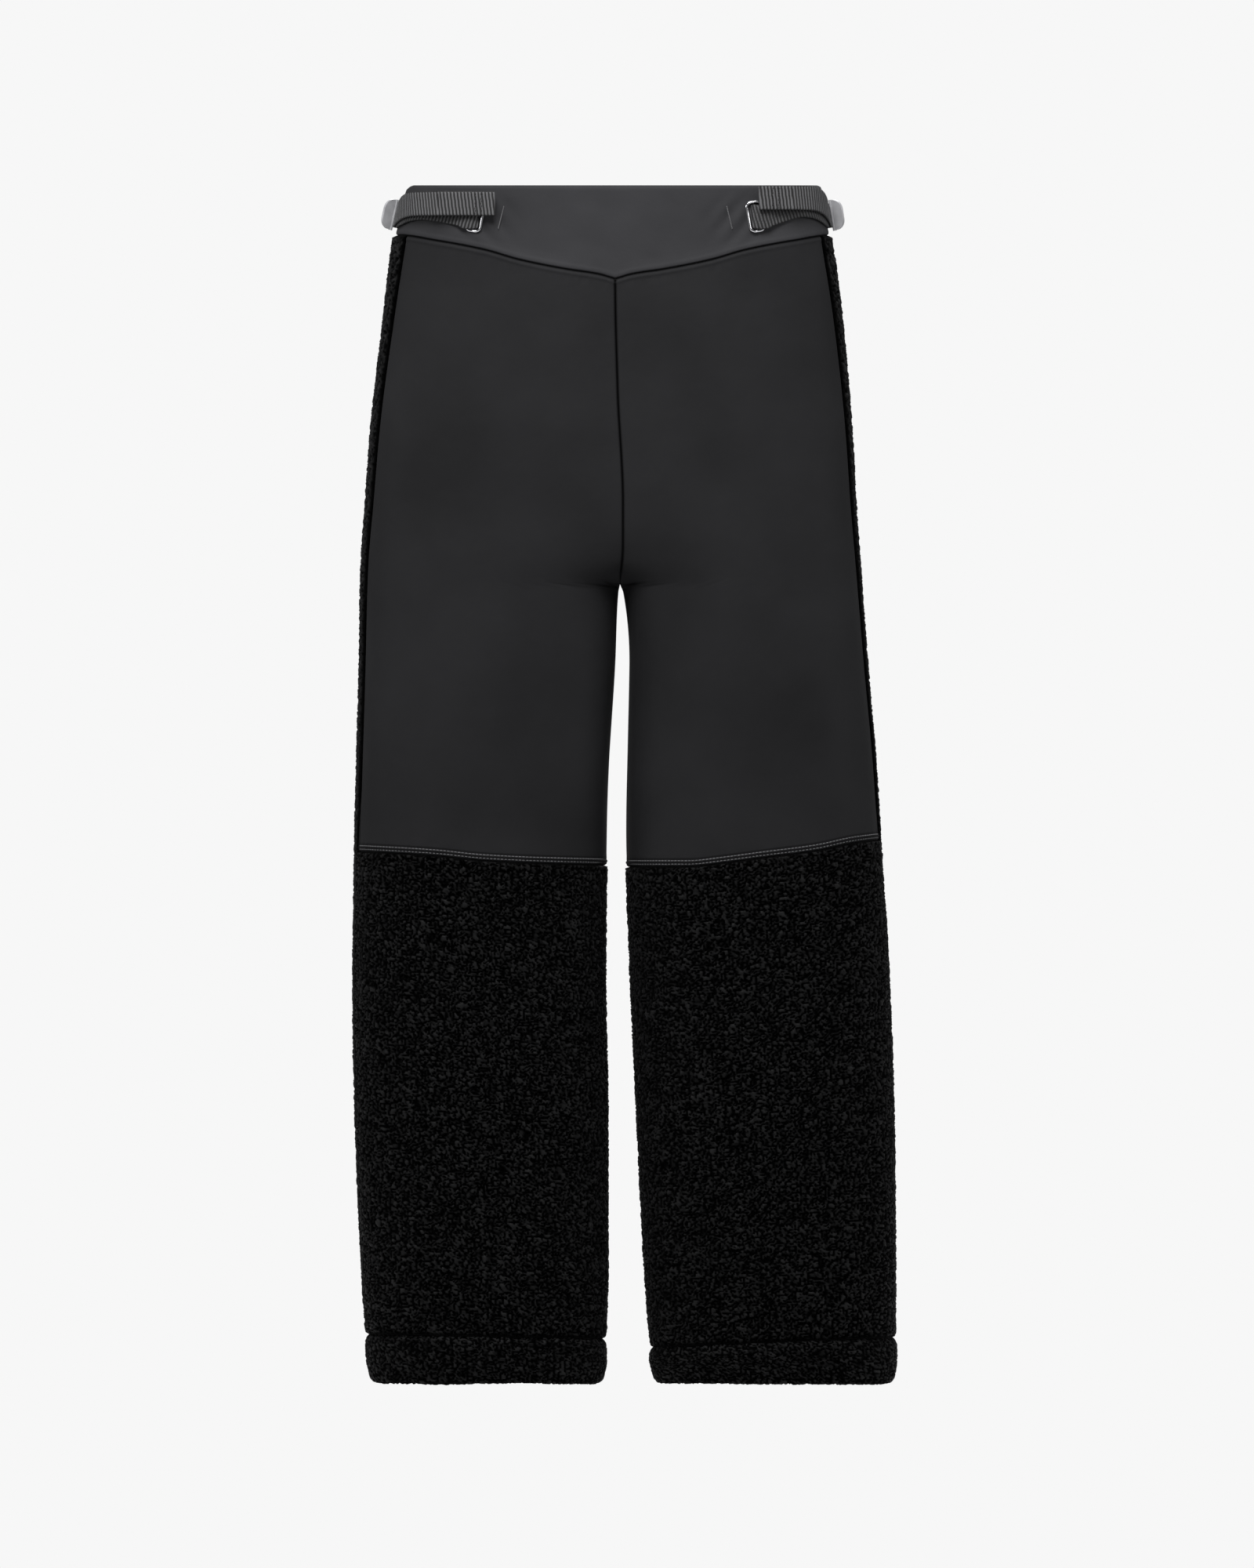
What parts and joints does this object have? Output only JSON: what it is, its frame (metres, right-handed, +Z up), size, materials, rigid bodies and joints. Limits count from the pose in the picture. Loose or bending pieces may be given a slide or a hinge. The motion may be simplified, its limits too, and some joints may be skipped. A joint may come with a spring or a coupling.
{
  "type": "ski pants",
  "caption": "High-waisted pull-on ski pants: smooth softshell waistband and thigh fronts, sherpa fleece backs, shins and hems, and a webbing strap with wire ring and ladder buckle at each hip.",
  "frame": {"origin": "centre of the waist opening, at the waistband's top edge", "axes": "+Z up, -Y to the wearer's front, +X to the wearer's left"},
  "size_m": [0.4594, 0.1614, 0.999],
  "materials": {
    "softshell": "matte",
    "fleece": "sherpa pile",
    "webbing": "ribbed",
    "lining": "matte",
    "elastic": "ribbed",
    "ribbon": "satin",
    "thread": "satin",
    "ring_metal": "polished",
    "buckle_metal": "satin",
    "label": "satin"
  },
  "bodies": {
    "pants": {"back_panel_left": "fleece", "back_panel_right": "fleece", "buckle_tab_left": "webbing", "buckle_tab_right": "webbing", "care_label": "label", "front_shin_panel_left": "fleece", "front_shin_panel_right": "fleece", "front_thigh_panel_left": "softshell", "front_thigh_panel_right": "softshell", "hanger_loop_left": "ribbon", "hanger_loop_right": "ribbon", "hem_left": "fleece", "hem_right": "fleece", "knee_topstitch_left": "thread", "knee_topstitch_right": "thread", "size_tab": "label", "strap_bartack_left": "thread", "strap_bartack_right": "thread", "strap_round_side_left": "webbing", "strap_round_side_right": "webbing", "strap_standing_left": "webbing", "strap_standing_right": "webbing", "tab_stitch_left": "thread", "tab_stitch_right": "thread", "waist_elastic": "elastic", "waistband_back": "softshell", "waistband_facing_back": "lining", "waistband_facing_front": "lining", "waistband_front": "softshell", "waistband_interlining": "lining"},
    "buckle_left": {"buckle_left": "buckle_metal", "strap_wrap_left": "webbing"},
    "buckle_right": {"buckle_right": "buckle_metal", "strap_wrap_right": "webbing"},
    "ring_left": {"ring_left": "ring_metal"},
    "ring_right": {"ring_right": "ring_metal"},
    "strap_tail_left": {"strap_tail_left": "webbing", "tail_stitch_left": "thread"},
    "strap_tail_right": {"strap_tail_right": "webbing", "tail_stitch_right": "thread"}
  },
  "joints": [
    {"name": "buckle_tilt_left", "type": "hinge", "parent": "pants", "child": "buckle_left", "pos_m": [0.18078, 0.014, -0.02511], "axis": [-0.1537, 0, 0.9881], "range_deg": [0, 35]},
    {"name": "ring_tilt_left", "type": "hinge", "parent": "pants", "child": "ring_left", "pos_m": [0.12306, -0.05153, -0.02491], "axis": [-0.1725, -0.0199, 0.9848], "range_deg": [0, 10]},
    {"name": "tail_slide_left", "type": "slide", "parent": "pants", "child": "strap_tail_left", "axis": [-0.9853, -0.1709, 0], "range_m": [0, 0.03]},
    {"name": "buckle_tilt_right", "type": "hinge", "parent": "pants", "child": "buckle_right", "pos_m": [-0.18444, 0.014, -0.02474], "axis": [-0.2169, 0, -0.9762], "range_deg": [0, 35]},
    {"name": "ring_tilt_right", "type": "hinge", "parent": "pants", "child": "ring_right", "pos_m": [-0.12307, -0.05191, -0.02491], "axis": [-0.1728, 0.0169, -0.9848], "range_deg": [0, 10]},
    {"name": "tail_slide_right", "type": "slide", "parent": "pants", "child": "strap_tail_right", "axis": [0.9944, -0.1061, 0], "range_m": [0, 0.03]}
  ]
}
